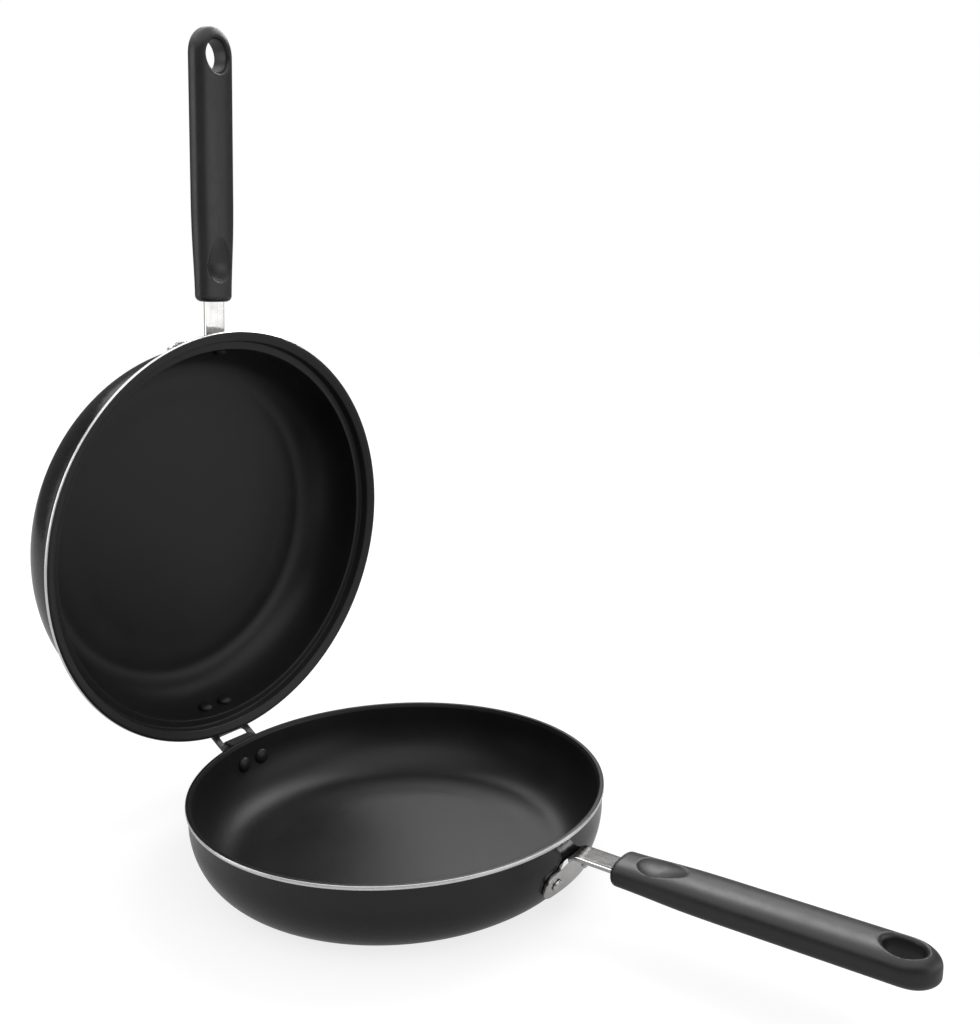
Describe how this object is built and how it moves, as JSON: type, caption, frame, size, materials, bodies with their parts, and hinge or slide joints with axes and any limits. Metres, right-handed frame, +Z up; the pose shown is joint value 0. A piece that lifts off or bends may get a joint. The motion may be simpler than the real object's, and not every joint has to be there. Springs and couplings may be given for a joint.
{
  "type": "double sided flip pan",
  "caption": "Flip pan whose coated halves are joined by a hook hinge opposite their long handles and close rim over rim to turn food.",
  "frame": {"origin": "middle of the flat underside of the lower pan, on the surface it stands on", "axes": "+X from the middle of the lower pan out along its handle, +Y to the left of the handle along the hinge axis, +Z up"},
  "size_m": [0.4904, 0.2618, 0.4746],
  "materials": {
    "coated_pan": "black: matte non-stick coating inside, gloss enamel outside, bare turned rim edge",
    "bright_steel": "bright pressed steel",
    "dark_steel": "pressed steel with a dark baked coat",
    "bakelite": "black moulded phenolic, low sheen"
  },
  "bodies": {
    "lower": {"lower_pan": "coated_pan", "lower_handle_bracket": "bright_steel", "lower_bracket_rivet_left": "bright_steel", "lower_bracket_rivet_right": "bright_steel", "lower_handle_grip": "bakelite", "lower_handle_screw": "bright_steel", "lower_handle_lock_washer": "bright_steel", "lower_hinge_hook": "dark_steel", "lower_hinge_rivet_left": "bright_steel", "lower_hinge_rivet_right": "bright_steel"},
    "upper": {"upper_pan": "coated_pan", "upper_handle_bracket": "bright_steel", "upper_bracket_rivet_left": "bright_steel", "upper_bracket_rivet_right": "bright_steel", "upper_handle_grip": "bakelite", "upper_handle_screw": "bright_steel", "upper_handle_lock_washer": "bright_steel", "upper_hinge_loop": "dark_steel", "upper_hinge_rivet_left": "bright_steel", "upper_hinge_rivet_right": "bright_steel"}
  },
  "joints": [
    {"name": "pan_hinge", "type": "hinge", "parent": "lower", "child": "upper", "pos_m": [-0.13804, 0, 0.03376], "axis": [0, 1, 0], "range_deg": [0, 84.1]}
  ]
}
